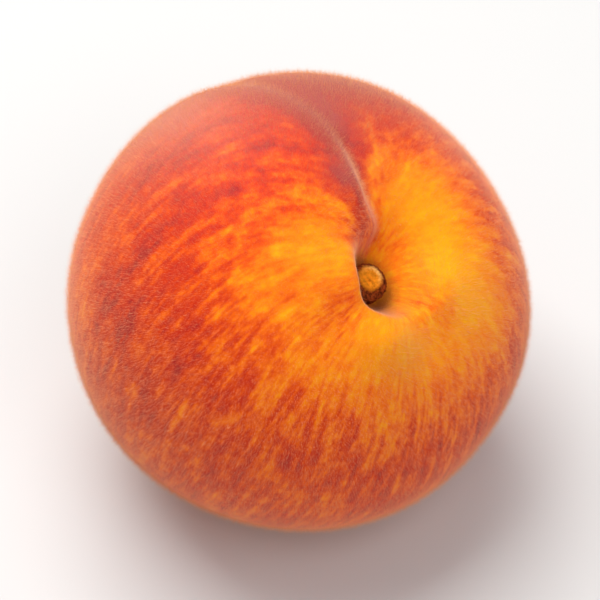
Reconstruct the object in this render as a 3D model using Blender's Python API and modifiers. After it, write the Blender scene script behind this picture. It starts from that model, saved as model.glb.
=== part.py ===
"""A ripe peach as picked, lying on its side so that its stem end looks up and forward.

Blender 4.5, metres, +Z up. The fruit is one solid: a slightly flattened ball with a
suture down one side, a stem cavity at one end and a small tip near the other. The woody
stub of the stalk stands in the cavity. The origin is the middle of the small flat spot
that the fruit rests on.

The fruit is shaped in a frame of its own, about the middle of its body: +Z points to
the stem end, +X to the side that carries the suture and +Y to the tighter cheek. Polar
angles are measured from +Z, azimuths from +X towards +Y.
"""

import math

import bmesh
import bpy
import numpy as np
from mathutils import Matrix, Vector

# Body of the fruit
CHEEK_WIDTH = 0.0694
SUTURE_THICKNESS = 0.0680
HEIGHT = 0.0654
SHOULDER_FULLNESS = 0.045
PRESSED_DEPTH = 0.0013
PRESSED_AT = (math.radians(70), math.radians(-60))
PRESSED_ANGLE = math.radians(26)
LUMP = 0.00025

# Suture: a wide valley with a crease in it, from the stem cavity to the tip
VALLEY_DEPTH = 0.0003
VALLEY_DEEPENING = 0.0006
VALLEY_STEEP_WIDTH = 0.0034
VALLEY_GENTLE_WIDTH = 0.0105
CREASE_DEPTH = 0.0003
CREASE_HALF_WIDTH = 0.0020
NOTCH_DEPTH = 0.0022
NOTCH_AT = math.radians(24)
NOTCH_ANGLE = math.radians(19)
SUTURE_BOW = 0.0075
SUTURE_START = -0.0012

# Stem cavity: a steep pit round the stalk in a shallow basin
PIT_CENTRE = (-0.0004, 0.0014)
PIT_DEPTH = 0.0088
PIT_TIGHT_AZIMUTH = math.radians(150)
PIT_TIGHT_SPREAD = 0.6
PIT_TIGHT_RADIUS = 0.0039
PIT_WIDE_RADIUS = 0.0088
PIT_TIGHT_STEEPNESS = 6.0
PIT_WIDE_STEEPNESS = 1.8
BASIN_DEPTH = 0.0032
BASIN_RADIUS = 0.0140
BASIN_CENTRE = (0.0012, -0.0052)
LIP_HEIGHT = 0.0010
LIP_RADIUS = 0.0080
LIP_HALF_WIDTH = 0.0036
OVERHANG = 0.0017
NOTCH_REACH = 0.0130
PLEAT_DEPTH = 0.0006
PLEATS = 4
PLEAT_RADIUS = 0.0095

# Tip
TIP_AT = (math.radians(166), math.radians(180))
TIP_HEIGHT = 0.0015
TIP_ANGLE = math.radians(5)
TIP_HOLLOW_DEPTH = 0.0010
TIP_HOLLOW_ANGLE = math.radians(13)

# Woody stub of the stalk
STUB_LENGTH = 0.0036
STUB_FOOT_RADIUS = 0.0027
STUB_WAIST_RADIUS = 0.0026
STUB_END_RADIUS = 0.0028
STUB_FOOT_DOME = 0.0007
STUB_EDGE = 0.0003
STUB_LEAN = math.radians(14)
STUB_LEAN_AZIMUTH = math.radians(10)
CLEARANCE = 0.0003

# Attitude at rest
STEM_LEAN = math.radians(42.0)
STEM_BEARING = math.radians(-46.8)
SUTURE_SPIN = math.radians(157.0)
SPOT_DEPTH = 0.0008

# Fineness of the mesh, with rings and meridians gathered where the form turns sharply
MERIDIANS = 72
RINGS = 50
RING_GATHER = 0.62
MERIDIAN_GATHER = 0.42
STUB_SIDES = 24


def direction(polar, azimuth):
    """Unit vector at a polar angle and an azimuth."""
    around = math.sin(polar)
    return np.array([around * math.cos(azimuth), around * math.sin(azimuth), math.cos(polar)])


def bump(distance, width, power=2.0):
    """A rounded rise: 1 in its middle and near 0 past twice the width."""
    return np.exp(-((np.abs(distance) / width) ** power))


def ramp(low, high, value):
    """A smooth step from 0 at low to 1 at high."""
    share = np.clip((value - low) / (high - low), 0, 1)
    return share * share * (3 - 2 * share)


def angle_from(directions, centre):
    """Angle between each direction and the centre direction."""
    return np.arccos(np.clip(directions @ centre, -1, 1))


def body_radius(directions):
    """The ball: an ellipsoid, fuller at the shoulders, pressed a little on one side, with faint lumps."""
    halves = np.array([SUTURE_THICKNESS, CHEEK_WIDTH, HEIGHT]) / 2
    radius = 1 / np.linalg.norm(directions / halves, axis=1)
    x, y, z = directions.T
    radius *= 1 + SHOULDER_FULLNESS * (z - z**3)
    radius -= PRESSED_DEPTH * bump(angle_from(directions, direction(*PRESSED_AT)), PRESSED_ANGLE)
    return radius + LUMP * (np.sin(5 * x + 2 * z) * np.cos(4 * y + 1) + np.sin(6 * z + 3 * y))


def tip_rise(directions):
    """The small point at the blossom end, in a slight hollow."""
    away = angle_from(directions, direction(*TIP_AT))
    return TIP_HEIGHT * bump(away, TIP_ANGLE) - TIP_HOLLOW_DEPTH * bump(away, TIP_HOLLOW_ANGLE)


def suture_depth(directions, sideways):
    """How far the suture sinks below the body, for points that far to the side of its plane."""
    along = np.arctan2(directions[:, 0], directions[:, 2])
    along = np.where(along < -math.pi / 2, along + 2 * math.pi, along)
    end = 2 * math.pi - TIP_AT[0]
    present = ramp(math.radians(-8), math.radians(12), along)
    present *= 1 - ramp(end - math.radians(6), end + math.radians(10), along)
    bend = np.sin(np.clip(along / end, 0, 1) * math.pi) ** 4
    side = sideways - SUTURE_START - (SUTURE_BOW - SUTURE_START) * bend
    notch = NOTCH_DEPTH * bump(along - NOTCH_AT, NOTCH_ANGLE)
    width = np.where(side > 0, VALLEY_STEEP_WIDTH, VALLEY_GENTLE_WIDTH)
    valley = (VALLEY_DEPTH + VALLEY_DEEPENING * ramp(0.5 * end, end, along) + notch) * bump(side, width)
    crease = (CREASE_DEPTH + notch / 3) * bump(side, CREASE_HALF_WIDTH)
    return present * (valley + crease)


def cavity_depth(across):
    """How far the stem cavity sinks, for points that far across from the stem axis."""
    x, y = (across - PIT_CENTRE).T
    reach = np.hypot(x, y)
    azimuth = np.arctan2(y, x)
    tight = ((1 + np.cos(azimuth - PIT_TIGHT_AZIMUTH)) / 2) ** PIT_TIGHT_SPREAD
    radius = PIT_WIDE_RADIUS + (PIT_TIGHT_RADIUS - PIT_WIDE_RADIUS) * tight
    steepness = PIT_WIDE_STEEPNESS + (PIT_TIGHT_STEEPNESS - PIT_WIDE_STEEPNESS) * tight**2
    pit = PIT_DEPTH * bump(reach, radius, steepness)
    basin = BASIN_DEPTH * bump(np.linalg.norm(across - BASIN_CENTRE, axis=1), BASIN_RADIUS)
    lip = LIP_HEIGHT * bump(reach - LIP_RADIUS, LIP_HALF_WIDTH) * tight**3
    pleats = PLEAT_DEPTH * np.cos(PLEATS * azimuth + 1) * bump(reach - PLEAT_RADIUS, PLEAT_RADIUS / 2)
    return pit + basin - lip - pleats


def overhang(across):
    """How far the tighter cheek's lip leans over the cavity and the notch, for points that far across."""
    x, y = (across - PIT_CENTRE).T
    around_pit = bump(np.hypot(x, y) - LIP_RADIUS, LIP_HALF_WIDTH) * ramp(0, LIP_RADIUS, x + y)
    along_notch = bump(y - LIP_HALF_WIDTH, LIP_HALF_WIDTH) * bump(x - NOTCH_REACH, NOTCH_REACH / 2)
    return OVERHANG * np.hypot(around_pit, along_notch)


def fruit_points(directions):
    """Points of the skin in the given directions from the middle of the body."""
    radius = body_radius(directions) + tip_rise(directions)
    radius -= suture_depth(directions, radius * directions[:, 1])
    points = radius[:, None] * directions
    across = points[:, :2].copy()
    stem_end = ramp(0, 0.3, directions[:, 2])
    points[:, 2] -= cavity_depth(across) * stem_end
    points[:, 1] -= overhang(across) * stem_end
    return points


def attitude():
    """Turns the fruit's own frame into the one that it lies in."""
    lean = Matrix.Rotation(STEM_BEARING, 3, "Z") @ Matrix.Rotation(STEM_LEAN, 3, "Y")
    return lean @ Matrix.Rotation(SUTURE_SPIN, 3, "Z")


def gathered(directions):
    """The same directions with rings gathered at both poles and meridians gathered at the suture."""
    polar = np.arccos(np.clip(directions[:, 2], -1, 1))
    azimuth = np.arctan2(directions[:, 1], directions[:, 0])
    polar -= RING_GATHER * np.sin(2 * polar) / 2
    azimuth -= MERIDIAN_GATHER * np.sin(azimuth)
    around = np.sin(polar)
    return np.stack([around * np.cos(azimuth), around * np.sin(azimuth), np.cos(polar)], axis=1)


def material(name, colour, roughness):
    """A plain Principled material."""
    made = bpy.data.materials.new(name)
    made.use_nodes = True
    shader = made.node_tree.nodes["Principled BSDF"]
    shader.inputs["Base Color"].default_value = (*colour, 1.0)
    shader.inputs["Roughness"].default_value = roughness
    shader.inputs["Metallic"].default_value = 0.0
    made.diffuse_color = (*colour, 1.0)
    return made


def cut_resting_spot(bm, down):
    """Cuts the flat spot across the lowest part of the mesh and returns the middle of its face."""
    lowest = max(vertex.co.dot(down) for vertex in bm.verts)
    plane = down * (lowest - SPOT_DEPTH)
    everything = bm.verts[:] + bm.edges[:] + bm.faces[:]
    bmesh.ops.bisect_plane(bm, geom=everything, plane_co=plane, plane_no=down, clear_outer=True)
    rim = [edge for edge in bm.edges if edge.is_boundary]
    spot = bmesh.ops.edgeloop_fill(bm, edges=rim)["faces"][0]
    return spot.calc_center_median_weighted()


def make_fruit(collection, down):
    """The fruit's solid, and the middle of its resting spot in the fruit's own frame."""
    bm = bmesh.new()
    bmesh.ops.create_uvsphere(bm, u_segments=MERIDIANS, v_segments=RINGS, radius=1.0)
    directions = np.array([vertex.co.normalized() for vertex in bm.verts])
    for vertex, point in zip(bm.verts, fruit_points(gathered(directions))):
        vertex.co = Vector(point)
    middle = cut_resting_spot(bm, down)
    bmesh.ops.triangulate(bm, faces=bm.faces[:])
    bmesh.ops.recalc_face_normals(bm, faces=bm.faces[:])
    mesh = bpy.data.meshes.new("fruit")
    bm.to_mesh(mesh)
    bm.free()
    mesh.shade_smooth()
    mesh.set_sharp_from_angle(angle=math.radians(35))
    mesh.materials.append(material("peach_skin", (0.80, 0.20, 0.04), 0.75))
    fruit = bpy.data.objects.new("fruit", mesh)
    collection.objects.link(fruit)
    return fruit, middle


def stub_profile():
    """Radius and height of the stub's outline, from the middle of its broken end down to its foot."""
    waist = STUB_LENGTH * 0.5
    return [
        (0.0, STUB_LENGTH),
        (STUB_END_RADIUS - STUB_EDGE, STUB_LENGTH),
        (STUB_END_RADIUS, STUB_LENGTH - STUB_EDGE),
        (STUB_END_RADIUS - STUB_EDGE / 2, STUB_LENGTH * 0.75),
        (STUB_WAIST_RADIUS, waist),
        (STUB_FOOT_RADIUS - STUB_EDGE, STUB_FOOT_DOME * 2),
        (STUB_FOOT_RADIUS, STUB_FOOT_DOME + STUB_EDGE / 2),
        (STUB_FOOT_RADIUS - STUB_EDGE, STUB_FOOT_DOME / 2),
        (0.0, 0.0),
    ]


def make_stub(collection):
    """The stub of the stalk, turned about its own axis from its outline."""
    profile = stub_profile()
    mesh = bpy.data.meshes.new("stem_stub")
    points = [(radius, 0.0, height) for radius, height in profile]
    mesh.from_pydata(points, [(i, i + 1) for i in range(len(points) - 1)], [])
    mesh.materials.append(material("stalk_wood", (0.24, 0.10, 0.035), 0.85))
    stub = bpy.data.objects.new("stem_stub", mesh)
    collection.objects.link(stub)
    turned = stub.modifiers.new("Turned", "SCREW")
    turned.steps = STUB_SIDES
    turned.render_steps = STUB_SIDES
    turned.use_merge_vertices = True
    turned.merge_threshold = 0.00002
    turned.use_smooth_shade = True
    return stub


def stub_seat():
    """Height of the stub's foot above the middle of the body, where its rim just clears the pit's floor."""
    around = np.linspace(0, 2 * math.pi, STUB_SIDES, endpoint=False)
    rim = PIT_CENTRE + STUB_FOOT_RADIUS * np.stack([np.cos(around), np.sin(around)], axis=1)
    towards = np.concatenate([rim, np.full((STUB_SIDES, 1), HEIGHT / 2)], axis=1)
    floor = fruit_points(towards / np.linalg.norm(towards, axis=1, keepdims=True))[:, 2]
    sink = STUB_FOOT_RADIUS * math.sin(STUB_LEAN) * np.cos(around - STUB_LEAN_AZIMUTH)
    return (floor + sink).max() - STUB_FOOT_DOME + CLEARANCE


def main():
    for old in list(bpy.data.objects):
        bpy.data.objects.remove(old, do_unlink=True)
    collection = bpy.data.collections.new("peach")
    bpy.context.scene.collection.children.link(collection)

    turn = attitude()
    down = turn.transposed() @ Vector((0, 0, -1))
    fruit, spot = make_fruit(collection, down)
    stub = make_stub(collection)

    carrier = bpy.data.objects.new("peach_attitude", None)
    collection.objects.link(carrier)
    carrier.rotation_euler = turn.to_euler()
    carrier.location = -(turn @ spot)
    fruit.parent = carrier
    stub.parent = carrier

    lean_axis = Vector((-math.sin(STUB_LEAN_AZIMUTH), math.cos(STUB_LEAN_AZIMUTH), 0))
    stub.rotation_euler = Matrix.Rotation(STUB_LEAN, 3, lean_axis).to_euler()
    stub.location = (*PIT_CENTRE, stub_seat())


if __name__ == "__main__":
    main()
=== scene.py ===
"""Dresses a ripe peach for a soft studio picture: its skin, its fuzz, its stalk stub and the stage.

Blender 4.5, metres, +Z up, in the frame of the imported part. The fruit is worked out in a
frame of its own, about the middle of its body: +Z points to the stem end, +X to the side
that carries the suture and +Y to the tighter cheek. Polar angles are measured from +Z,
azimuths from +X towards +Y.
"""

import math

import bpy
import numpy as np
from mathutils import Matrix, Vector


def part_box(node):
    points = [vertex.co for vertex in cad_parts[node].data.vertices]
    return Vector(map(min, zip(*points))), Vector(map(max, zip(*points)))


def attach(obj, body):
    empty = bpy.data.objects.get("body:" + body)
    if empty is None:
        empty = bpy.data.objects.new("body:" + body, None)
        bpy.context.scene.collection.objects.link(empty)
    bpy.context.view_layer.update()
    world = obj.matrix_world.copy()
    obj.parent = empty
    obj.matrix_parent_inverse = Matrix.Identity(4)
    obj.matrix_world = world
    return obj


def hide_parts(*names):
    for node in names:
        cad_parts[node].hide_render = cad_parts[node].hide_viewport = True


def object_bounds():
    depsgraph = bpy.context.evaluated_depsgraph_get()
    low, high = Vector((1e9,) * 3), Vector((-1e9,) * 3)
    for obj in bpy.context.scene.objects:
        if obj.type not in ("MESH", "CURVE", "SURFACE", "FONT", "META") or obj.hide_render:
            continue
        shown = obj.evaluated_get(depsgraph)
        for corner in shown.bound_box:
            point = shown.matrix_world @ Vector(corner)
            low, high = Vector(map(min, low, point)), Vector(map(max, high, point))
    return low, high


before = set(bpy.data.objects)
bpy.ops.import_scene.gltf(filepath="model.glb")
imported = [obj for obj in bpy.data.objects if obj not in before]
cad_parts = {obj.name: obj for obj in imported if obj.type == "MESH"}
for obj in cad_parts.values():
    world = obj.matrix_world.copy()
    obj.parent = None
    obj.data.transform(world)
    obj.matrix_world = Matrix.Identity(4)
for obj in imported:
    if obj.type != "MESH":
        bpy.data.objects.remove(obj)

CAD_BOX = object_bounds()
FRUIT_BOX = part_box("fruit")

bl_info = {
    "name": "Ripe peach",
    "version": (1, 0, 0),
    "blender": (4, 5, 0),
    "location": "3D View > Sidebar > Peach",
    "description": "Skin, fuzz, stalk stub and stage for a ripe peach",
    "category": "Object",
}

# Body of the fruit
CHEEK_WIDTH = 0.0694
SUTURE_THICKNESS = 0.0680
HEIGHT = 0.0654
SHOULDER_FULLNESS = 0.045
PRESSED_DEPTH = 0.0013
PRESSED_AT = (math.radians(70), math.radians(-60))
PRESSED_ANGLE = math.radians(26)
LUMP = 0.00025

# Suture: a wide valley with a crease in it and a notch at its start, bowed to one side between
# the stem cavity and the tip, with the angles along it over which it comes in and goes out
VALLEY_DEPTH = 0.0003
VALLEY_DEEPENING = 0.0006
VALLEY_STEEP_WIDTH = 0.0034
VALLEY_GENTLE_WIDTH = 0.0105
CREASE_DEPTH = 0.0003
CREASE_HALF_WIDTH = 0.0020
NOTCH_DEPTH = 0.0022
NOTCH_AT = math.radians(24)
NOTCH_ANGLE = math.radians(19)
SUTURE_BOW = 0.0075
SUTURE_BOW_POWER = 4
SUTURE_START = -0.0012
SUTURE_COMES = (math.radians(-8), math.radians(12))
SUTURE_GOES_PAST_TIP = (math.radians(-6), math.radians(10))

# Stem cavity: a steep pit round the stalk in a shallow basin, with a lip that leans over it on
# its tight side and pleats round it, and the heights on a unit ball between which it all comes in
PIT_CENTRE = (-0.0004, 0.0014)
PIT_DEPTH = 0.0088
PIT_TIGHT_AZIMUTH = math.radians(150)
PIT_TIGHT_SPREAD = 0.6
PIT_TIGHT_RADIUS = 0.0039
PIT_WIDE_RADIUS = 0.0088
PIT_TIGHT_STEEPNESS = 6.0
PIT_WIDE_STEEPNESS = 1.8
BASIN_DEPTH = 0.0032
BASIN_RADIUS = 0.0140
BASIN_CENTRE = (0.0012, -0.0052)
LIP_HEIGHT = 0.0010
LIP_RADIUS = 0.0080
LIP_HALF_WIDTH = 0.0036
OVERHANG = 0.0017
NOTCH_REACH = 0.0130
PLEAT_DEPTH = 0.0006
PLEATS = 4
PLEAT_RADIUS = 0.0095
CAVITY_COMES_BETWEEN = (0, 0.3)

# Tip
TIP_AT = (math.radians(166), math.radians(180))
TIP_HEIGHT = 0.0015
TIP_ANGLE = math.radians(5)
TIP_HOLLOW_DEPTH = 0.0010
TIP_HOLLOW_ANGLE = math.radians(13)

# Woody stub of the stalk
STUB_LENGTH = 0.0036
STUB_FOOT_RADIUS = 0.0027
STUB_WAIST_RADIUS = 0.0026
STUB_END_RADIUS = 0.0028
STUB_FOOT_DOME = 0.0007
STUB_EDGE = 0.0003
STUB_LEAN = math.radians(14)
STUB_LEAN_AZIMUTH = math.radians(10)
STUB_SIDES = 24
CLEARANCE = 0.0003

# Attitude at rest
STEM_LEAN = math.radians(42.0)
STEM_BEARING = math.radians(-46.8)
SUTURE_SPIN = math.radians(157.0)

# Shares of the way along the stub's outline, from its end's middle to its foot's middle: where
# the end gives way to bark, the rim's middle and half width, the wear and the foot
END_TURNS_BETWEEN = (0.28, 0.36)
RIM_AT = 0.30
RIM_HALF_WIDTH = 0.08
WEAR_GOES_BETWEEN = (0.30, 0.50)
FOOT_TURNS_BETWEEN = (0.86, 0.96)

# Broken end of the stub: where the wood's middle is, its radius, its hollow, the azimuth of its
# pale rim, a painted highlight on the side that faces the light, and the power that narrows it,
# and the wear round it, with where that grows
WOOD_AT = (0.0004, -0.0002)
WOOD_RADIUS = 0.00178
WOOD_HOLLOW = 0.00025
WOOD_HIGHLIGHT_AT = math.radians(-50)
WOOD_HIGHLIGHT_POWER = 5
WEAR = 0.0007
WEAR_GROWS_BETWEEN = (0.6 * WOOD_RADIUS, 1.8 * WOOD_RADIUS)

# Roughness of the stub: ridges and furrows of its bark, its ragged rim and its rough end, each
# with its waves round the stub and the seed of their drift, and how fast they drift at most, in
# radians to a metre, with how many times faster the furrows and the rough end do
BARK_RIDGE = 0.00010
BARK_RIDGES = ((9, 14, 17, 23), 3)
BARK_FURROW = 0.00006
BARK_FURROWS = ((31, 37, 43), 4)
RIM_RAGGED = 0.00016
RIM_WAVES = ((3, 5, 8, 13), 5)
END_ROUGH = 0.00005
END_WAVES = ((11, 19, 27), 6)
DRIFT = 900
FURROWS_FASTER = 3
END_FASTER = 4

# Fineness of the skin's grid, with rings and meridians gathered where the form turns sharply, and
# the rings and meridians of the coarser grid that the fruit's place is worked out on
RING_GATHER = 0.62
MERIDIAN_GATHER = 0.42
PLACING_GRID = (180, 180)

# Streaks: how often they repeat round the fruit and from end to end, how they turn and narrow,
# how fast they fade where the turning crowds them, and how much of them fades towards the tip
STREAKS_ROUND = 15.0
STREAKS_ALONG = 5.0
STREAK_TURN = 0.75
STREAK_NARROWING = 0.3
STREAK_FADE = 0.3
STREAK_FADE_AT_TIP = 0.7
STREAKS_FADE_BETWEEN = (math.radians(75), math.radians(145))

# Blush: its least share, how far it rises between two polar angles, and its band along the suture,
# with the angles from the cavity over which the band comes in and goes out
BLUSH_GROUND = 0.10
BLUSH_RISE = 0.54
BLUSH_RISES_BETWEEN = (math.radians(10), math.radians(58))
BLUSH_BESIDE_SUTURE = 0.58
BLUSH_BAND_OFFSET = 0.0030
BLUSH_BAND_HALF_WIDTH = 0.0040
BLUSH_BAND_COMES = (math.radians(4), math.radians(15))
BLUSH_BAND_GOES = (math.radians(70), math.radians(150))

# Soft round marks that add to the blush or take from it, each with its polar angle, azimuth
# and half width in degrees, and its amount: sun side, shaded underside, cheeks, stem end, where
# the deeper orange in the cavity is partly painted shade of the hollow
BLUSH_MARKS = (
    (100, -28, 44, 0.42),
    (138, -160, 46, -0.50),
    (70, 84, 20, 0.14),
    (108, 62, 26, -0.12),
    (46, 30, 16, 0.13),
    (33, 28, 9, 0.12),
    (38, 78, 20, -0.08),
    (34, -112, 14, -0.14),
    (32, -45, 15, -0.17),
    (35, 42, 8, 0.05),
    (55, 66, 10, 0.05),
    (38, -66, 9, 0.05),
    # Stem end: deeper orange in and round the cavity, partly painted shade of the hollow
    (13, -50, 7, 0.14),
    (0, 0, 11, 0.16),
    (18, -100, 10, -0.06),
    (20, 95, 14, 0.07),
    (13, -128, 7, 0.20),
    (19, 103, 7, 0.20),
)

# Dull mauve in the same manner, partly painted: the two large marks are painted sheen of the down
# over the top and the sun side, and a small one adds mauve beside the suture near the cavity. Along
# the suture: a wide band of the fruit's own mauve and a narrow line of painted shade in its crease,
# with the angles from the cavity over which each comes in
HAZE_AND_SHEEN_MARKS = (
    (64, -10, 29, 0.82),
    (88, -12, 34, 0.30),
    (29, 17, 7, 0.50),
)
HAZE_BAND = 0.36
HAZE_BAND_OFFSET = 0.0018
HAZE_BAND_HALF_WIDTH = 0.0048
HAZE_BAND_COMES = (math.radians(14), math.radians(30))
CREASE_SHADE_LINE = 0.40
CREASE_SHADE_LINE_HALF_WIDTH = 0.0014
CREASE_SHADE_LINE_COMES = (math.radians(40), math.radians(60))

# Painted sheen of the down in the same manner: a pale coat, mostly on the limbs, where the down
# catches the light at a grazing angle
PAINTED_SHEEN_MARKS = (
    (85, 30, 28, 0.88),
    (55, 34, 22, 0.24),
    (50, -46, 15, 0.50),
)

# Noises of the patches in each coat of the skin, of its roughness, and of the stub's bark, wood
# and wood's edge: the scale, the detail, the roughness and the amount of each
HAZE_PATCHES = (900.0, 2.0, 0.6, 0.5)
PAINTED_SHEEN_PATCHES = (1500.0, 2.0, 0.6, 0.7)
CORK_AND_SHADE_PATCHES = (1100.0, 2.0, 0.6, 0.7)
ROUGHNESS_NOISE = (300.0, 2.0, 0.5, 0.2)
BARK_NOISE = (2600.0, 4.0, 0.65, 2.6)
WOOD_NOISE = (1500.0, 3.0, 0.6, 2.2)
WOOD_EDGE_NOISE = (1500.0, 3.0, 0.6, 0.6)

# Fine relief of the skin and of the bark: the scale, the strength and the depth of its noise,
# and how the bark's patterns are drawn out along the stub
SKIN_RELIEF = (1500.0, 0.5, 0.00012)
BARK_RELIEF = (3600.0, 0.9, 0.00016)
BARK_DRAWN_OUT = (1.0, 1.0, 0.3)

# Shades of the stub, as shares of its own colours, and how much of each noise is the paler one
FURROW_SHADE = 0.35
RIDGE_SHADE = 2.8
PORE_SHADE = 0.42
RIDGE_SHARE = 0.4
WOOD_SHARE = 0.6

# Distances from the wood's middle, as shares of its radius: where its pale rim, a painted
# highlight on the side that faces the light, comes in and where the bark starts, and how strong
# that painted highlight is
RIM_HIGHLIGHT_COMES_BETWEEN = (0.55, 0.85)
BARK_STARTS_BETWEEN = (0.85, 1.15)
RIM_HIGHLIGHT_STRENGTH = 0.8

# Brown ring on the flesh round the stalk, partly corky tissue and partly painted shade of the
# hollow round its foot, and the bare flesh inside it
CORK_AND_SHADE_RADIUS = 0.0036
CORK_AND_SHADE_HALF_WIDTH = 0.0017
BARE_RADIUS = 0.0036

# Hairs: how much they lean towards the tip and at random, how even their sizes are, the least
# and the most of their mean size, how far above the ground they start, how short they are in the
# stem cavity, within that distance of its middle, and to how many one is spare, for a root that
# falls where none grows
HAIR_LEAN = 0.14
HAIR_SCATTER = 0.19
HAIR_EVENNESS = 4
HAIR_SIZES = (0.3, 2.1)
HAIR_START = 0.0004
HAIR_SHORT = 0.22
HAIR_FULL_FROM = 0.0095
HAIRS_TO_A_SPARE = 12

# Mottling of the blush: the shares of blush between which it grows, and its least strength
MOTTLED_BETWEEN = (0.1, 0.5)
MOTTLED_LEAST = 0.15

# Mottles: how rough their noises are, and what each runs through, its scale, its detail and its
# amount
MOTTLE_ROUGHNESS = 0.6
MOTTLES = (
    ("streaks", 0.45, 2.0, 0.50),
    ("streaks", 1.0, 2.0, 1.20),
    ("streaks", 2.2, 2.0, 0.35),
    ("space", 210.0, 2.0, 0.38),
    ("space", 480.0, 3.0, 0.50),
    ("space", 1300.0, 2.0, 0.42),
)

# Colours of the skin from its yellow ground to its darkest blush, each at its share of blush
BLUSH_COLOURS = (
    (0.00, (0.930, 0.430, 0.003)),
    (0.15, (0.920, 0.320, 0.003)),
    (0.30, (0.900, 0.215, 0.003)),
    (0.42, (0.850, 0.145, 0.003)),
    (0.54, (0.760, 0.086, 0.003)),
    (0.66, (0.660, 0.048, 0.004)),
    (0.78, (0.590, 0.030, 0.007)),
    (0.90, (0.500, 0.024, 0.013)),
    (1.00, (0.400, 0.020, 0.018)),
)

# Even finishes, as values of the shader
SKIN_FINISH = {
    "Specular IOR Level": 0.08,
    "Subsurface Weight": 0.12,
    "Subsurface Radius": (1.0, 0.35, 0.12),
    "Subsurface Scale": 0.0012,
    "Sheen Roughness": 0.40,
    "Sheen Tint": (1.0, 0.64, 0.52, 1),
}
DOWN_FINISH = {"Roughness": 0.8, "Specular IOR Level": 0.25}
STUB_FINISH = {"Roughness": 0.8, "Specular IOR Level": 0.05}
FLOOR_FINISH = {"Roughness": 0.9, "Specular IOR Level": 0.1}

# Floor: how far from the middle it stays flat, how high it sweeps up, and its cells to a side
FLOOR_FLAT = 1.0
FLOOR_RISE = 1.3
FLOOR_CELLS = 64

# Soft lights: where they stand, their sides and their colours
KEY_AT = (-0.13, 0.17, 0.62)
KEY_SIDE = 0.50
KEY_COLOUR = (1.0, 0.985, 0.96)
FILL_AT = (0.20, -0.42, 0.62)
FILL_SIDE = 0.45
FILL_COLOUR = (1.0, 1.0, 1.0)


class PeachSkinSettings(bpy.types.PropertyGroup):
    """Fineness and finish of the skin."""

    rings: bpy.props.IntProperty(
        name="Rings", description="Rows of the skin's grid from end to end", default=268, min=24
    )
    meridians: bpy.props.IntProperty(
        name="Meridians", description="Columns of the skin's grid all round", default=360, min=24
    )
    # Dull mauve, partly painted sheen of the down over the top and painted shade in the suture's crease
    haze_sheen_and_shade_colour: bpy.props.FloatVectorProperty(
        name="Haze", description="Dull mauve of the suture and the sun side",
        subtype="COLOR", default=(0.38, 0.075, 0.066), min=0, max=1,
    )
    # Colour of the painted sheen of the down on the limbs
    painted_sheen_colour: bpy.props.FloatVectorProperty(
        name="Bloom", description="Pale bloom of the thickest down",
        subtype="COLOR", default=(0.60, 0.205, 0.158), min=0, max=1,
    )
    # Brown of the ring round the stalk, partly painted shade of its hollow
    cork_and_shade_colour: bpy.props.FloatVectorProperty(
        name="Cork", description="Corky ring on the flesh round the stalk",
        subtype="COLOR", default=(0.40, 0.115, 0.006), min=0, max=1,
    )
    roughness: bpy.props.FloatProperty(
        name="Roughness", description="Roughness of the skin", subtype="FACTOR",
        default=0.62, min=0, max=1,
    )
    sheen: bpy.props.FloatProperty(
        name="Sheen", description="Strength of the down's soft sheen", subtype="FACTOR",
        default=0.60, min=0, max=1,
    )


class PeachFuzzSettings(bpy.types.PropertyGroup):
    """Size, number and colour of the hairs."""

    tufts: bpy.props.IntProperty(
        name="Pieces", description="Pieces that the fuzz is divided into", default=4, min=1
    )
    hairs: bpy.props.IntProperty(
        name="Hairs", description="Hairs in each piece of fuzz", default=185000, min=100
    )
    length: bpy.props.FloatProperty(
        name="Length", description="Mean length of a hair", unit="LENGTH", default=0.00055, min=0.00005
    )
    width: bpy.props.FloatProperty(
        name="Width", description="Width of a hair at its root", unit="LENGTH",
        default=0.000012, min=0.000002,
    )
    colour: bpy.props.FloatVectorProperty(
        name="Colour", description="Colour of the hairs", subtype="COLOR",
        default=(0.84, 0.40, 0.20), min=0, max=1,
    )
    seed: bpy.props.IntProperty(name="Seed", description="Seed of the hairs' random places", default=7)


class PeachStubSettings(bpy.types.PropertyGroup):
    """Fineness and colours of the stalk's stub."""

    sides: bpy.props.IntProperty(
        name="Sides", description="Columns of the stub's grid all round", default=160, min=12
    )
    rows: bpy.props.IntProperty(
        name="Rows", description="Rows of the stub's grid from its end to its foot", default=140, min=12
    )
    bark_colour: bpy.props.FloatVectorProperty(
        name="Bark", description="Dark side of the stub", subtype="COLOR",
        default=(0.125, 0.022, 0.004), min=0, max=1,
    )
    wood_colour: bpy.props.FloatVectorProperty(
        name="Wood", description="Broken end of the stub", subtype="COLOR",
        default=(0.95, 0.30, 0.012), min=0, max=1,
    )
    # Colour of the painted highlight on one side of the end's rim
    rim_highlight_colour: bpy.props.FloatVectorProperty(
        name="Rim", description="Pale crescent of the end's rim", subtype="COLOR",
        default=(0.84, 0.46, 0.13), min=0, max=1,
    )


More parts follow.
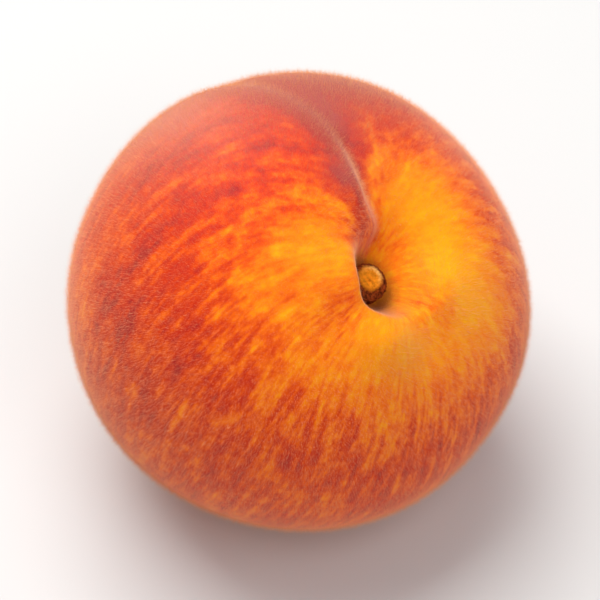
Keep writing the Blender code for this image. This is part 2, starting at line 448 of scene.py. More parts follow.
class PeachStageSettings(bpy.types.PropertyGroup):
    """Floor, light and camera."""

    floor_side: bpy.props.FloatProperty(
        name="Floor side", description="Side of the square floor", unit="LENGTH", default=6.0, min=0.5
    )
    floor_colour: bpy.props.FloatVectorProperty(
        name="Floor", description="Colour of the floor", subtype="COLOR",
        default=(0.68, 0.68, 0.68), min=0, max=1,
    )
    surround: bpy.props.FloatProperty(
        name="Surround", description="Strength of the even light from all round", default=0.35, min=0
    )
    key_power: bpy.props.FloatProperty(
        name="Key light", description="Power of the large soft light above", unit="POWER",
        default=4.9, min=0,
    )
    fill_power: bpy.props.FloatProperty(
        name="Fill light", description="Power of the soft light from the front", unit="POWER",
        default=1.8, min=0,
    )
    elevation: bpy.props.FloatProperty(
        name="Elevation", description="Camera's angle above the horizon", subtype="ANGLE",
        default=math.radians(50),
    )
    lens: bpy.props.FloatProperty(
        name="Lens", description="Focal length in millimetres", subtype="DISTANCE_CAMERA",
        default=150.0, min=20,
    )
    view_width: bpy.props.FloatProperty(
        name="View width", description="Width of the picture at the fruit", unit="LENGTH",
        default=0.090, min=0.02,
    )


def direction(polar, azimuth):
    """Unit vector at a polar angle and an azimuth."""
    around = math.sin(polar)
    return np.array([around * math.cos(azimuth), around * math.sin(azimuth), math.cos(polar)])


def bump(distance, width, power=2.0):
    """A rounded rise: 1 in its middle and near 0 past twice the width."""
    return np.exp(-((np.abs(distance) / width) ** power))


def ramp(low, high, value):
    """A smooth step from 0 at low to 1 at high."""
    share = np.clip((value - low) / (high - low), 0, 1)
    return share * share * (3 - 2 * share)


def angle_from(directions, centre):
    """Angle between each direction and the centre direction."""
    return np.arccos(np.clip(directions @ centre, -1, 1))


def body_radius(directions):
    """The ball: an ellipsoid, fuller at the shoulders, pressed a little on one side, with faint lumps."""
    halves = np.array([SUTURE_THICKNESS, CHEEK_WIDTH, HEIGHT]) / 2
    radius = 1 / np.linalg.norm(directions / halves, axis=1)
    x, y, z = directions.T
    radius *= 1 + SHOULDER_FULLNESS * (z - z**3)
    radius -= PRESSED_DEPTH * bump(angle_from(directions, direction(*PRESSED_AT)), PRESSED_ANGLE)
    return radius + LUMP * (np.sin(5 * x + 2 * z) * np.cos(4 * y + 1) + np.sin(6 * z + 3 * y))


def tip_rise(directions):
    """The small point at the blossom end, in a slight hollow."""
    away = angle_from(directions, direction(*TIP_AT))
    return TIP_HEIGHT * bump(away, TIP_ANGLE) - TIP_HOLLOW_DEPTH * bump(away, TIP_HOLLOW_ANGLE)


def suture_course(directions, sideways):
    """Angle along the suture, how far to its side and how present it is.

    The points lie in the given directions, that far sideways from the suture's plane.
    """
    along = np.arctan2(directions[:, 0], directions[:, 2])
    along = np.where(along < -math.pi / 2, along + 2 * math.pi, along)
    end = 2 * math.pi - TIP_AT[0]
    present = ramp(*SUTURE_COMES, along)
    present *= 1 - ramp(*(end + past for past in SUTURE_GOES_PAST_TIP), along)
    bend = np.sin(np.clip(along / end, 0, 1) * math.pi) ** SUTURE_BOW_POWER
    side = sideways - SUTURE_START - (SUTURE_BOW - SUTURE_START) * bend
    return along, side, present


def suture_depth(directions, sideways):
    """How far the suture sinks below the body: a valley steeper on one side, with a crease along it."""
    along, side, present = suture_course(directions, sideways)
    end = 2 * math.pi - TIP_AT[0]
    notch = NOTCH_DEPTH * bump(along - NOTCH_AT, NOTCH_ANGLE)
    width = np.where(side > 0, VALLEY_STEEP_WIDTH, VALLEY_GENTLE_WIDTH)
    valley = (VALLEY_DEPTH + VALLEY_DEEPENING * ramp(0.5 * end, end, along) + notch) * bump(side, width)
    crease = (CREASE_DEPTH + notch / 3) * bump(side, CREASE_HALF_WIDTH)
    return present * (valley + crease)


def cavity_depth(across):
    """How far the stem cavity sinks, for points that far across from the stem axis."""
    x, y = (across - PIT_CENTRE).T
    reach = np.hypot(x, y)
    azimuth = np.arctan2(y, x)
    tight = ((1 + np.cos(azimuth - PIT_TIGHT_AZIMUTH)) / 2) ** PIT_TIGHT_SPREAD
    radius = PIT_WIDE_RADIUS + (PIT_TIGHT_RADIUS - PIT_WIDE_RADIUS) * tight
    steepness = PIT_WIDE_STEEPNESS + (PIT_TIGHT_STEEPNESS - PIT_WIDE_STEEPNESS) * tight**2
    pit = PIT_DEPTH * bump(reach, radius, steepness)
    basin = BASIN_DEPTH * bump(np.linalg.norm(across - BASIN_CENTRE, axis=1), BASIN_RADIUS)
    lip = LIP_HEIGHT * bump(reach - LIP_RADIUS, LIP_HALF_WIDTH) * tight**3
    pleats = PLEAT_DEPTH * np.cos(PLEATS * azimuth + 1) * bump(reach - PLEAT_RADIUS, PLEAT_RADIUS / 2)
    return pit + basin - lip - pleats


def overhang(across):
    """How far the tighter cheek's lip leans over the cavity and the notch, for points that far across."""
    x, y = (across - PIT_CENTRE).T
    around_pit = bump(np.hypot(x, y) - LIP_RADIUS, LIP_HALF_WIDTH) * ramp(0, LIP_RADIUS, x + y)
    along_notch = bump(y - LIP_HALF_WIDTH, LIP_HALF_WIDTH) * bump(x - NOTCH_REACH, NOTCH_REACH / 2)
    return OVERHANG * np.hypot(around_pit, along_notch)


def fruit_points(directions):
    """Points of the skin in the given directions from the middle of the body."""
    radius = body_radius(directions) + tip_rise(directions)
    radius -= suture_depth(directions, radius * directions[:, 1])
    points = radius[:, None] * directions
    across = points[:, :2].copy()
    stem_end = ramp(*CAVITY_COMES_BETWEEN, directions[:, 2])
    points[:, 2] -= cavity_depth(across) * stem_end
    points[:, 1] -= overhang(across) * stem_end
    return points


def attitude():
    """Turns the fruit's own frame into the one that it lies in, as an array."""
    lean = Matrix.Rotation(STEM_BEARING, 3, "Z") @ Matrix.Rotation(STEM_LEAN, 3, "Y")
    return np.array(lean @ Matrix.Rotation(SUTURE_SPIN, 3, "Z"))


def grid_directions(rings, meridians):
    """Unit vectors from pole to pole, one at each pole and a row of meridians on each ring between.

    Rings are spaced by s - G sin(2s)/2 and meridians by a - H sin(a), which gathers the
    rings at both poles and the meridians at the suture.
    """
    polar = np.linspace(0, math.pi, rings + 1)[1:-1]
    polar -= RING_GATHER * np.sin(2 * polar) / 2
    azimuth = np.linspace(-math.pi, math.pi, meridians, endpoint=False)
    azimuth -= MERIDIAN_GATHER * np.sin(azimuth)
    polar, azimuth = (part.ravel() for part in np.meshgrid(polar, azimuth, indexing="ij"))
    around = np.sin(polar)
    rows = np.stack([around * np.cos(azimuth), around * np.sin(azimuth), np.cos(polar)], axis=1)
    return np.concatenate([[[0, 0, 1]], rows, [[0, 0, -1]]])


def grid_faces(rings, meridians):
    """Faces of a closed grid from pole to pole: rows of quads, and a fan of triangles at each pole."""
    rows = 1 + np.arange((rings - 1) * meridians).reshape(rings - 1, meridians)
    following = np.roll(rows, -1, axis=1)
    quads = np.stack([rows[:-1], rows[1:], following[1:], following[:-1]], axis=-1).reshape(-1, 4)
    last = (rings - 1) * meridians + 1
    top = np.stack([np.zeros(meridians, int), rows[0], following[0]], axis=1)
    bottom = np.stack([rows[-1], np.full(meridians, last), following[-1]], axis=1)
    return quads, top, bottom


def grid_uv(rings, meridians):
    """Flat map of the same faces: u runs round and v from end to end, with the seam at the end."""
    u = np.arange(meridians + 1) / meridians
    v = 1 - np.arange(rings + 1) / rings
    left, right = (np.tile(edge, (rings - 2, 1)) for edge in (u[:-1], u[1:]))
    upper, lower = (np.tile(edge[:, None], (1, meridians)) for edge in (v[1:-2], v[2:-1]))
    quads = np.stack([left, upper, left, lower, right, lower, right, upper], axis=-1).reshape(-1, 2)
    middle = (u[:-1] + u[1:]) / 2
    near, far = np.full(meridians, v[1]), np.full(meridians, v[-2])
    ones, zeros = np.ones(meridians), np.zeros(meridians)
    top = np.stack([middle, ones, u[:-1], near, u[1:], near], axis=-1).reshape(-1, 2)
    bottom = np.stack([u[:-1], far, middle, zeros, u[1:], far], axis=-1).reshape(-1, 2)
    return np.concatenate([quads, top, bottom])


def mesh_object(name, points, face_groups):
    """An object of its own at the origin. Each group of faces is an array with one face to a row."""
    mesh = bpy.data.meshes.new(name)
    mesh.vertices.add(len(points))
    mesh.vertices.foreach_set("co", points.astype(np.float32).ravel())
    corners = np.concatenate([group.ravel() for group in face_groups])
    sizes = np.concatenate([np.full(len(group), group.shape[1]) for group in face_groups])
    mesh.loops.add(len(corners))
    mesh.loops.foreach_set("vertex_index", corners.astype(np.int32))
    mesh.polygons.add(len(sizes))
    mesh.polygons.foreach_set("loop_start", (np.cumsum(sizes) - sizes).astype(np.int32))
    mesh.update(calc_edges=True)
    mesh.shade_smooth()
    made = bpy.data.objects.new(name, mesh)
    bpy.context.scene.collection.objects.link(made)
    return made


def add_field(piece, name, values):
    """Stores one number or one vector for each point of the piece, for its material to read."""
    vector = values.ndim == 2
    field = piece.data.attributes.new(name, "FLOAT_VECTOR" if vector else "FLOAT", "POINT")
    field.data.foreach_set("vector" if vector else "value", values.astype(np.float32).ravel())


def add_map(piece, places):
    """Stores the piece's flat map, one place for each corner of its faces."""
    layer = piece.data.uv_layers.new(name="OFBake")
    layer.data.foreach_set("uv", places.astype(np.float32).ravel())


def own_place():
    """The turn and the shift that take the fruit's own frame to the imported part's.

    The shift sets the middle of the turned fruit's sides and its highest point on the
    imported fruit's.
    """
    turn = attitude()
    low, high = (np.array(corner) for corner in FRUIT_BOX)
    turned = fruit_points(grid_directions(*PLACING_GRID)) @ turn.T
    shift = (low + high) / 2 - (turned.min(axis=0) + turned.max(axis=0)) / 2
    shift[2] = high[2] - turned[:, 2].max()
    return turn, shift


def placed(points, turn, shift):
    """Points of the fruit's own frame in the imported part's, the lowest pressed flat on the ground."""
    moved = points @ turn.T + shift
    moved[:, 2] = np.maximum(moved[:, 2], 0)
    return moved


def sum_of_marks(directions, marks):
    """Sum of soft round marks on the fruit."""
    total = np.zeros(len(directions))
    for polar, azimuth, half_width, amount in marks:
        centre = direction(math.radians(polar), math.radians(azimuth))
        total += amount * bump(angle_from(directions, centre), math.radians(half_width))
    return total


def blush_field(directions, side, along, present):
    """Share of blush: rises away from the stem end, deepest beside the suture and on the sun side."""
    polar = angle_from(directions, direction(0, 0))
    share = BLUSH_GROUND + BLUSH_RISE * ramp(*BLUSH_RISES_BETWEEN, polar)
    band = bump(side - BLUSH_BAND_OFFSET, BLUSH_BAND_HALF_WIDTH) * present
    band *= ramp(*BLUSH_BAND_COMES, along) * (1 - ramp(*BLUSH_BAND_GOES, along))
    return share + sum_of_marks(directions, BLUSH_MARKS) + BLUSH_BESIDE_SUTURE * band


def haze_sheen_and_shade_field(directions, side, along, present):
    """Share of dull mauve: along the suture, beside it over the top and over the sun side.

    Over the top and the sun side it is painted sheen of the down, and the narrow line along the
    suture is painted shade in its crease.
    """
    band = bump(side - HAZE_BAND_OFFSET, HAZE_BAND_HALF_WIDTH)
    band *= ramp(*HAZE_BAND_COMES, along)
    # Painted shade in the suture's crease
    line = bump(side, CREASE_SHADE_LINE_HALF_WIDTH) * ramp(*CREASE_SHADE_LINE_COMES, along)
    return sum_of_marks(directions, HAZE_AND_SHEEN_MARKS) + present * (HAZE_BAND * band + CREASE_SHADE_LINE * line)


def streak_field(directions):
    """Place among the streaks: once round a circle for the azimuth, with the polar angle as its height.

    The azimuth is turned back in step with the polar angle, most on the cheeks and not at
    the suture, so that the streaks lean away from the meridians. The circle narrows towards
    both ends, as a power of the polar angle's sine, which turns the streaks to blotches there.
    With the place comes how plain the streaks are: they fade where the turning crowds them
    and towards the tip.
    """
    polar = np.arccos(np.clip(directions[:, 2], -1, 1))
    azimuth = np.arctan2(directions[:, 1], directions[:, 0])
    turned = azimuth - STREAK_TURN * np.sin(azimuth) * polar
    circle = np.stack([np.cos(turned), np.sin(turned)], axis=1)
    circle *= STREAKS_ROUND * np.maximum(np.sin(polar), 0)[:, None] ** STREAK_NARROWING
    place = np.concatenate([circle, polar[:, None] * STREAKS_ALONG], axis=1)
    spacing = 1 - STREAK_TURN * np.cos(azimuth) * polar
    tipward = ramp(*STREAKS_FADE_BETWEEN, polar)
    return place, ramp(0, STREAK_FADE, spacing) * (1 - STREAK_FADE_AT_TIP * tipward)


def add_node(tree, kind, inputs, **settings):
    """Adds a node. Each input takes a value, or another node's output, which is then linked to it."""
    made = tree.nodes.new(kind)
    for name, value in settings.items():
        setattr(made, name, value)
    for name, value in inputs.items():
        if isinstance(value, bpy.types.NodeSocket):
            tree.links.new(value, made.inputs[name])
        else:
            made.inputs[name].default_value = value
    return made


def math_of(tree, operation, first, second):
    """One sum of two values or outputs."""
    return add_node(tree, "ShaderNodeMath", {0: first, 1: second}, operation=operation).outputs[0]


def spread_of(tree, vector, scale, detail, roughness, strength):
    """Noise round zero, of the given strength, which may be an output too."""
    settings = {"Vector": vector, "Scale": scale, "Detail": detail, "Roughness": roughness}
    noise = add_node(tree, "ShaderNodeTexNoise", settings).outputs[0]
    return math_of(tree, "MULTIPLY", math_of(tree, "SUBTRACT", noise, 0.5), strength)


def field_of(tree, name, output="Fac"):
    """A field that the piece carries."""
    return add_node(tree, "ShaderNodeAttribute", {}, attribute_name=name).outputs[output]


def mixed(tree, factor, first, second):
    """Colour between two colours."""
    mix = tree.nodes.new("ShaderNodeMix")
    mix.data_type = "RGBA"
    sockets = {"Factor_Float": factor, "A_Color": first, "B_Color": second}
    for socket in mix.inputs:
        value = sockets.get(socket.identifier)
        if value is None:
            continue
        if isinstance(value, bpy.types.NodeSocket):
            tree.links.new(value, socket)
        else:
            socket.default_value = value
    return next(out for out in mix.outputs if out.identifier == "Result_Color")


def new_material(name, finish):
    """A material with only its shader in the given even finish: its nodes, its shader and itself."""
    material = bpy.data.materials.new(name)
    material.use_nodes = True
    shader = material.node_tree.nodes["Principled BSDF"]
    for socket, value in finish.items():
        shader.inputs[socket].default_value = value
    return material.node_tree, shader, material


def range_of(tree, value, low, high, at_low=0.0, at_high=1.0):
    """The value's place between low and high, as a number from one share to another."""
    inputs = {"Value": value, "From Min": low, "From Max": high, "To Min": at_low, "To Max": at_high}
    return add_node(tree, "ShaderNodeMapRange", inputs).outputs[0]


def coated(tree, under, coat, name, patches):
    """A coat over a colour where the piece's field says, broken into fine patches."""
    share = field_of(tree, name)
    place = add_node(tree, "ShaderNodeTexCoord", {}).outputs["Object"]
    patchy = math_of(tree, "ADD", share, spread_of(tree, place, *patches))
    return mixed(tree, math_of(tree, "MULTIPLY", patchy, share), under, (*coat, 1))


def relief_of(tree, shader, vector, scale, strength, depth):
    """Fine relief from a noise, on the shader."""
    settings = {"Vector": vector, "Scale": scale, "Detail": 3.0, "Roughness": 0.6}
    height = add_node(tree, "ShaderNodeTexNoise", settings).outputs[0]
    relief = add_node(tree, "ShaderNodeBump", {"Height": height, "Strength": strength, "Distance": depth})
    tree.links.new(relief.outputs["Normal"], shader.inputs["Normal"])


def skin_material(settings):
    """Yellow ground under a streaked, mottled blush, dull along the suture, with painted light.

    The dull mauve holds painted sheen of the down over the top and painted shade in the suture's
    crease, the pale coat is painted sheen of the down on the limbs, and the brown ring round the
    stalk is partly painted shade of its hollow.
    """
    tree, shader, material = new_material("peach_skin", SKIN_FINISH)
    place = add_node(tree, "ShaderNodeTexCoord", {}).outputs["Object"]
    streaks = field_of(tree, "streaks", "Vector")
    blush = field_of(tree, "blush")
    strength = range_of(tree, blush, *MOTTLED_BETWEEN, MOTTLED_LEAST)
    streaked = math_of(tree, "MULTIPLY", strength, field_of(tree, "streaked"))
    spaces = {"streaks": (streaks, streaked), "space": (place, strength)}
    level = blush
    for through, scale, detail, amount in MOTTLES:
        vector, share = spaces[through]
        local = math_of(tree, "MULTIPLY", share, amount)
        mottles = spread_of(tree, vector, scale, detail, MOTTLE_ROUGHNESS, local)
        level = math_of(tree, "ADD", level, mottles)
    colours = add_node(tree, "ShaderNodeValToRGB", {"Fac": level})
    stops = colours.color_ramp.elements
    while len(stops) < len(BLUSH_COLOURS):
        stops.new(0.5)
    for stop, (share, colour) in zip(stops, BLUSH_COLOURS):
        stop.position = share
        stop.color = (*colour, 1)
    # Dull mauve, partly painted sheen over the top and painted shade in the suture's crease
    colour = coated(tree, colours.outputs["Color"], settings.haze_sheen_and_shade_colour, "haze_sheen_and_shade", HAZE_PATCHES)
    # Painted sheen of the down, mostly on the limbs
    colour = coated(tree, colour, settings.painted_sheen_colour, "painted_sheen", PAINTED_SHEEN_PATCHES)
    # Brown ring round the stalk: partly cork, partly painted shade of the hollow
    colour = coated(tree, colour, settings.cork_and_shade_colour, "cork_and_shade", CORK_AND_SHADE_PATCHES)
    tree.links.new(colour, shader.inputs["Base Color"])
    relief_of(tree, shader, place, *SKIN_RELIEF)
    rough = math_of(tree, "ADD", spread_of(tree, place, *ROUGHNESS_NOISE), settings.roughness)
    tree.links.new(rough, shader.inputs["Roughness"])
    shader.inputs["Sheen Weight"].default_value = settings.sheen
    return material


def make_skin(settings):
    """The whole skin as one closed surface, with the fields that its colours follow."""
    rings, meridians = settings.rings, settings.meridians
    directions = grid_directions(rings, meridians)
    points = fruit_points(directions)
    skin = mesh_object("peach_skin", placed(points, *own_place()), grid_faces(rings, meridians))
    add_map(skin, grid_uv(rings, meridians))
    along, side, present = suture_course(directions, points[:, 1])
    add_field(skin, "blush", blush_field(directions, side, along, present))
    # Share of dull mauve, with painted sheen over the top and painted shade in the suture's crease
    add_field(skin, "haze_sheen_and_shade", haze_sheen_and_shade_field(directions, side, along, present))
    # Share of painted sheen of the down, mostly on the limbs
    add_field(skin, "painted_sheen", sum_of_marks(directions, PAINTED_SHEEN_MARKS))
    streaks, streaked = streak_field(directions)
    add_field(skin, "streaks", streaks)
    add_field(skin, "streaked", streaked)
    reach = np.linalg.norm(points[:, :2] - PIT_CENTRE, axis=1)
    # Share of the brown ring round the stalk, partly painted shade of the hollow
    add_field(skin, "cork_and_shade", bump(reach - CORK_AND_SHADE_RADIUS, CORK_AND_SHADE_HALF_WIDTH) * (points[:, 2] > 0))
    skin.data.materials.append(skin_material(settings))
    return skin


def hair_roots(skin, number, seed):
    """Random places on the skin, even by area, with the outward direction at each."""
    mesh = skin.data
    mesh.calc_loop_triangles()
    points = np.empty(len(mesh.vertices) * 3, np.float32)
    mesh.vertices.foreach_get("co", points)
    outward = np.empty(len(mesh.vertices) * 3, np.float32)
    mesh.vertex_normals.foreach_get("vector", outward)
    faces = np.empty(len(mesh.loop_triangles) * 3, np.int32)
    mesh.loop_triangles.foreach_get("vertices", faces)
    points, outward, faces = (part.reshape(-1, 3) for part in (points, outward, faces))
    edges = points[faces[:, 1:]] - points[faces[:, :1]]
    area = np.linalg.norm(np.cross(edges[:, 0], edges[:, 1]), axis=1)
    draw = np.random.default_rng(seed)
    chosen = faces[draw.choice(len(faces), number, p=area / area.sum())]
    share = draw.dirichlet((1, 1, 1), number)[:, :, None]
    normals = (outward[chosen] * share).sum(axis=1)
    normals /= np.linalg.norm(normals, axis=1, keepdims=True)
    return (points[chosen] * share).sum(axis=1), normals, draw


def make_fuzz(skin, settings, number):
    """Fine hairs, each one thin triangle from its root to its point.

    A hair stands along the outward direction, leant a little towards the tip of the fruit
    and a little at random. Its size is drawn about the mean, with the width as its square
    root. They are shorter in the stem cavity, and none grows on the bare flesh round the
    stalk or under the fruit.
    """
    turn, shift = own_place()
    spare = settings.hairs // HAIRS_TO_A_SPARE
    roots, outward, draw = hair_roots(skin, settings.hairs + spare, settings.seed + number)
    own = (roots - shift) @ turn
    aside = np.where(own[:, 2] > 0, np.linalg.norm(own[:, :2] - PIT_CENTRE, axis=1), HAIR_FULL_FROM)
    kept = np.flatnonzero((aside > BARE_RADIUS) & (roots[:, 2] > HAIR_START))[: settings.hairs]
    roots, outward, aside = roots[kept], outward[kept], aside[kept, None]
    tipward = -turn[:, 2]
    lean = tipward - (outward @ tipward)[:, None] * outward
    heading = outward + HAIR_LEAN * lean + HAIR_SCATTER * draw.normal(size=roots.shape)
    heading /= np.linalg.norm(heading, axis=1, keepdims=True)
    sideways = np.cross(heading, draw.normal(size=roots.shape))
    size = np.clip(draw.gamma(HAIR_EVENNESS, 1 / HAIR_EVENNESS, (len(roots), 1)), *HAIR_SIZES)
    size *= HAIR_SHORT + (1 - HAIR_SHORT) * ramp(BARE_RADIUS, HAIR_FULL_FROM, aside)
    sideways *= settings.width / 2 * np.sqrt(size) / np.linalg.norm(sideways, axis=1, keepdims=True)
    ends = roots + heading * settings.length * size
    points = np.stack([roots - sideways, roots + sideways, ends], axis=1).reshape(-1, 3)
    points[:, 2] = np.maximum(points[:, 2], 0)
    return mesh_object(f"fuzz_{number + 1}", points, [np.arange(len(points)).reshape(-1, 3)])


def fuzz_material(settings):
    """Pale dry down."""
    _, shader, material = new_material("peach_down", DOWN_FINISH)
    shader.inputs["Base Color"].default_value = (*settings.colour, 1)
    return material


def stub_outline(share):
    """Radius and height of the stub's outline, from its end's middle at 0 to its foot's middle at 1."""
    marks = np.array([0.0, 0.30, 0.36, 0.50, 0.66, 0.82, 0.88, 0.93, 1.0])
    radii = [
        0.0,
        STUB_END_RADIUS - STUB_EDGE,
        STUB_END_RADIUS,
        STUB_END_RADIUS - STUB_EDGE / 2,
        STUB_WAIST_RADIUS,
        STUB_FOOT_RADIUS - STUB_EDGE,
        STUB_FOOT_RADIUS,
        STUB_FOOT_RADIUS - STUB_EDGE,
        0.0,
    ]
    heights = [
        STUB_LENGTH,
        STUB_LENGTH,
        STUB_LENGTH - STUB_EDGE,
        STUB_LENGTH * 0.75,
        STUB_LENGTH * 0.5,
        STUB_FOOT_DOME * 2,
        STUB_FOOT_DOME + STUB_EDGE / 2,
        STUB_FOOT_DOME / 2,
        0.0,
    ]
    return np.interp(share, marks, radii), np.interp(share, marks, heights)


def stub_seat():
    """Height of the stub's foot above the body's middle, where its rim just clears the pit's floor."""
    around = np.linspace(0, 2 * math.pi, STUB_SIDES, endpoint=False)
    rim = PIT_CENTRE + STUB_FOOT_RADIUS * np.stack([np.cos(around), np.sin(around)], axis=1)
    towards = np.concatenate([rim, np.full((STUB_SIDES, 1), HEIGHT / 2)], axis=1)
    floor = fruit_points(towards / np.linalg.norm(towards, axis=1, keepdims=True))[:, 2]
    sink = STUB_FOOT_RADIUS * math.sin(STUB_LEAN) * np.cos(around - STUB_LEAN_AZIMUTH)
    return (floor + sink).max() - STUB_FOOT_DOME + CLEARANCE


def ripple(around, along, waves, seed):
    """A sum of cosines round the stub, each drifting on the way along it, between about -1 and 1."""
    draw = np.random.default_rng(seed)
    total = np.zeros_like(around)
    for count in waves:
        phase, drift = draw.uniform(0, 2 * math.pi), draw.uniform(-DRIFT, DRIFT)
        total += np.cos(count * around + phase + drift * along) / len(waves)
    return total


def stub_surface(rows, sides):
    """Points of the upright stub, and its shares of end, of the wood's radius and of pale rim, a painted
    highlight.

    The outline is turned about the axis. Ridges and furrows push the bark out and in. The
    end is worn down away from the wood, hollowed in the wood and ragged at its rim.
    """
    share = np.linspace(0, 1, rows + 1)
    radius, height = stub_outline(share)
    around = np.linspace(0, 2 * math.pi, sides, endpoint=False)
    radius, height, share = (np.repeat(part[1:-1], sides) for part in (radius, height, share))
    around = np.tile(around, rows - 1)
    end = 1 - ramp(*END_TURNS_BETWEEN, share)
    bark = (1 - end) * (1 - ramp(*FOOT_TURNS_BETWEEN, share))
    radius = radius + BARK_RIDGE * bark * ripple(around, height, *BARK_RIDGES)
    radius = radius + BARK_FURROW * bark * ripple(around, height * FURROWS_FASTER, *BARK_FURROWS)
    from_wood = np.hypot(radius * np.cos(around) - WOOD_AT[0], radius * np.sin(around) - WOOD_AT[1])
    wear = ramp(*WEAR_GROWS_BETWEEN, from_wood) * (1 - ramp(*WEAR_GOES_BETWEEN, share))
    hollow = end * bump(from_wood, WOOD_RADIUS / 2)
    ragged = bump(share - RIM_AT, RIM_HALF_WIDTH) * ripple(around, 0, *RIM_WAVES)
    rough = end * ripple(around, radius * END_FASTER, *END_WAVES)
    height = height + RIM_RAGGED * ragged + END_ROUGH * rough - WEAR * wear - WOOD_HOLLOW * hollow
    points = np.stack([radius * np.cos(around), radius * np.sin(around), height], axis=1)
    top = np.array([[0, 0, STUB_LENGTH - WOOD_HOLLOW * hollow[:sides].mean()]])
    points = np.concatenate([top, points, [[0, 0, 0]]])
    wood = np.hypot(points[:, 0] - WOOD_AT[0], points[:, 1] - WOOD_AT[1]) / WOOD_RADIUS
    # Painted highlight: the pale crescent on the side of the rim that faces the light
    pale = ((1 + np.cos(around - WOOD_HIGHLIGHT_AT)) / 2) ** WOOD_HIGHLIGHT_POWER
    return points, np.concatenate([[1], end, [0]]), wood, np.concatenate([[0], pale, [0]])


def make_stub(settings):
    """The stub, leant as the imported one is, with the fields that its colours follow."""
    points, end, wood, pale = stub_surface(settings.rows, settings.sides)
    axis = Vector((-math.sin(STUB_LEAN_AZIMUTH), math.cos(STUB_LEAN_AZIMUTH), 0))
    lean = np.array(Matrix.Rotation(STUB_LEAN, 3, axis))
    own = points @ lean.T + (*PIT_CENTRE, stub_seat())
    turn, shift = own_place()
    faces = grid_faces(settings.rows, settings.sides)
    stub = mesh_object("stalk_stub", own @ turn.T + shift, faces)
    add_map(stub, grid_uv(settings.rows, settings.sides))
    add_field(stub, "end", end)
    add_field(stub, "upright", points * BARK_DRAWN_OUT)
    add_field(stub, "wood", wood)
    add_field(stub, "pale", pale)
    stub.data.materials.append(stub_material(settings))
    return stub


def stub_material(settings):
    """Dark ridged bark, and orange-brown wood on the broken end with a pale crescent at its rim, a
    painted highlight on the side that faces the light.
    """
    tree, shader, material = new_material("stalk_wood", STUB_FINISH)
    place = add_node(tree, "ShaderNodeTexCoord", {}).outputs["Object"]
    upright = field_of(tree, "upright", "Vector")
    furrow = (*(FURROW_SHADE * part for part in settings.bark_colour), 1)
    ridge = (*(RIDGE_SHADE * part for part in settings.bark_colour), 1)
    ridged = math_of(tree, "ADD", spread_of(tree, upright, *BARK_NOISE), RIDGE_SHARE)
    bark = mixed(tree, ridged, furrow, ridge)
    pore = (*(PORE_SHADE * part for part in settings.wood_colour), 1)
    grain = math_of(tree, "ADD", spread_of(tree, place, *WOOD_NOISE), WOOD_SHARE)
    wood = mixed(tree, grain, pore, (*settings.wood_colour, 1))
    reach = math_of(tree, "ADD", field_of(tree, "wood"), spread_of(tree, place, *WOOD_EDGE_NOISE))
    # Painted highlight on one side of the end's rim
    rim = range_of(tree, reach, *RIM_HIGHLIGHT_COMES_BETWEEN, 0, RIM_HIGHLIGHT_STRENGTH)
    rim = math_of(tree, "MULTIPLY", rim, field_of(tree, "pale"))
    wood = mixed(tree, rim, wood, (*settings.rim_highlight_colour, 1))
    end = range_of(tree, reach, *BARK_STARTS_BETWEEN, 1, 0)
    end = math_of(tree, "MULTIPLY", end, field_of(tree, "end"))
    tree.links.new(mixed(tree, end, bark, wood), shader.inputs["Base Color"])
    relief_of(tree, shader, upright, *BARK_RELIEF)
    return material


def make_floor(settings):
    """A plain square floor that sweeps up far from the fruit, and its pale matt material.

    The height is nought up to a distance from the middle, and rises smoothly from there to
    the middle of each side.
    """
    half = settings.floor_side / 2
    line = np.linspace(-half, half, FLOOR_CELLS + 1)
    across, along = np.meshgrid(line, line)
    height = FLOOR_RISE * ramp(FLOOR_FLAT, half, np.hypot(across, along))
    points = np.stack([across, along, height], axis=-1).reshape(-1, 3)
    corner = np.arange(len(points)).reshape(across.shape)
    cells = np.stack([corner[:-1, :-1], corner[:-1, 1:], corner[1:, 1:], corner[1:, :-1]], axis=-1)
    floor = mesh_object("floor", points, [cells.reshape(-1, 4)])
    _, shader, material = new_material("pale_floor", FLOOR_FINISH)
    shader.inputs["Base Color"].default_value = (*settings.floor_colour, 1)
    floor.data.materials.append(material)
    return floor


def add_softbox(name, place, side, power, colour, aim):
    """A square soft light at a place, turned to face the aim."""
    light = bpy.data.lights.new(name, "AREA")
    light.shape = "SQUARE"
    light.size = side
    light.energy = power
    light.color = colour
    lamp = bpy.data.objects.new(name, light)
    lamp.location = place
    lamp.rotation_euler = (Vector(aim) - Vector(place)).to_track_quat("-Z", "Y").to_euler()
    bpy.context.scene.collection.objects.link(lamp)


def light_stage(settings, middle):
    """Even light from all round, a large soft light above and behind, and a soft fill from the front."""
    world = bpy.data.worlds.new("surround")
    world.use_nodes = True
    background = world.node_tree.nodes["Background"]
    background.inputs["Color"].default_value = (1, 1, 1, 1)
    background.inputs["Strength"].default_value = settings.surround
    bpy.context.scene.world = world
    add_softbox("key", KEY_AT, KEY_SIDE, settings.key_power, KEY_COLOUR, middle)
    add_softbox("fill", FILL_AT, FILL_SIDE, settings.fill_power, FILL_COLOUR, middle)
    bpy.context.scene.view_settings.view_transform = "Standard"


def add_camera(settings, middle):
    """A long lens that looks along +Y and down at the middle of the fruit."""
    data = bpy.data.cameras.new("camera")
    data.lens = settings.lens
    distance = settings.view_width * data.lens / data.sensor_width
    back = Vector((0, -math.cos(settings.elevation), math.sin(settings.elevation)))
    camera = bpy.data.objects.new("camera", data)
    camera.location = Vector(middle) + back * distance
    camera.rotation_euler = (-back).to_track_quat("-Z", "Y").to_euler()
    bpy.context.scene.collection.objects.link(camera)
    bpy.context.scene.camera = camera


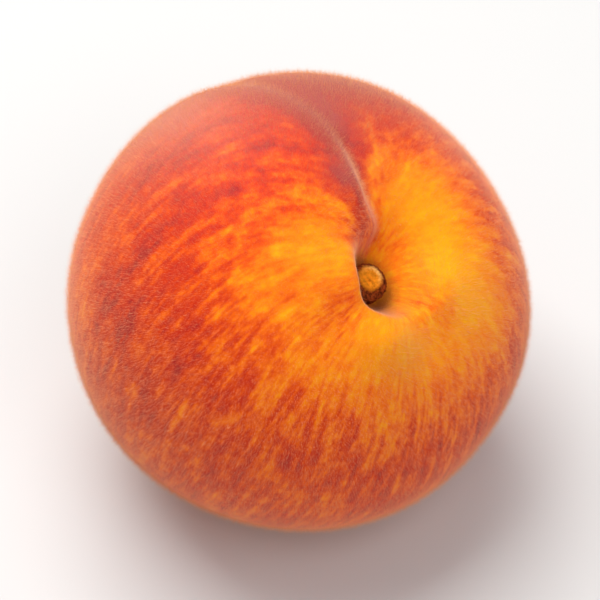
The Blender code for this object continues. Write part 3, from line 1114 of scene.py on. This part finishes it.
class PEACH_OT_skin(bpy.types.Operator):
    """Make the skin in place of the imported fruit"""

    bl_idname = "peach.skin"
    bl_label = "Make skin"

    def execute(self, context):
        skin = make_skin(context.scene.peach_skin)
        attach(skin, "root")
        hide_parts("fruit")
        return {"FINISHED"}


class PEACH_OT_fuzz(bpy.types.Operator):
    """Cover the skin with fine hairs"""

    bl_idname = "peach.fuzz"
    bl_label = "Make fuzz"

    def execute(self, context):
        settings = context.scene.peach_fuzz
        skin = bpy.data.objects.get("peach_skin")
        if skin is None:
            raise RuntimeError("Make the skin first: the hairs grow on it")
        material = fuzz_material(settings)
        for number in range(settings.tufts):
            fuzz = make_fuzz(skin, settings, number)
            fuzz.data.materials.append(material)
            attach(fuzz, "root")
        return {"FINISHED"}


class PEACH_OT_stub(bpy.types.Operator):
    """Make the stalk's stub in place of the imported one"""

    bl_idname = "peach.stub"
    bl_label = "Make stalk stub"

    def execute(self, context):
        stub = make_stub(context.scene.peach_stub)
        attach(stub, "root")
        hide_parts("stem_stub")
        return {"FINISHED"}


class PEACH_OT_stage(bpy.types.Operator):
    """Make the floor, the lights and the camera"""

    bl_idname = "peach.stage"
    bl_label = "Make stage"

    def execute(self, context):
        settings = context.scene.peach_stage
        middle = (CAD_BOX[0] + CAD_BOX[1]) / 2
        make_floor(settings)
        light_stage(settings, middle)
        add_camera(settings, middle)
        return {"FINISHED"}


class PEACH_PT_panel(bpy.types.Panel):
    """Lists the pieces of the peach, each with its settings"""

    bl_label = "Peach"
    bl_idname = "PEACH_PT_panel"
    bl_space_type = "VIEW_3D"
    bl_region_type = "UI"
    bl_category = "Peach"

    def draw(self, context):
        for name, (group, operator) in PIECES.items():
            box = self.layout.box()
            for setting in group.__annotations__:
                box.prop(getattr(context.scene, name), setting)
            box.operator(operator.bl_idname)


PIECES = {
    "peach_skin": (PeachSkinSettings, PEACH_OT_skin),
    "peach_fuzz": (PeachFuzzSettings, PEACH_OT_fuzz),
    "peach_stub": (PeachStubSettings, PEACH_OT_stub),
    "peach_stage": (PeachStageSettings, PEACH_OT_stage),
}


def register():
    """Adds the settings, the operators and the panel."""
    for name, (group, operator) in PIECES.items():
        bpy.utils.register_class(group)
        bpy.utils.register_class(operator)
        setattr(bpy.types.Scene, name, bpy.props.PointerProperty(type=group))
    bpy.utils.register_class(PEACH_PT_panel)


def unregister():
    """Takes them away again."""
    bpy.utils.unregister_class(PEACH_PT_panel)
    for name, (group, operator) in reversed(PIECES.items()):
        delattr(bpy.types.Scene, name)
        bpy.utils.unregister_class(operator)
        bpy.utils.unregister_class(group)


def main():
    """Makes every piece in turn."""
    register()
    bpy.ops.peach.stage()
    bpy.ops.peach.skin()
    bpy.ops.peach.fuzz()
    bpy.ops.peach.stub()


if __name__ == "__main__":
    main()
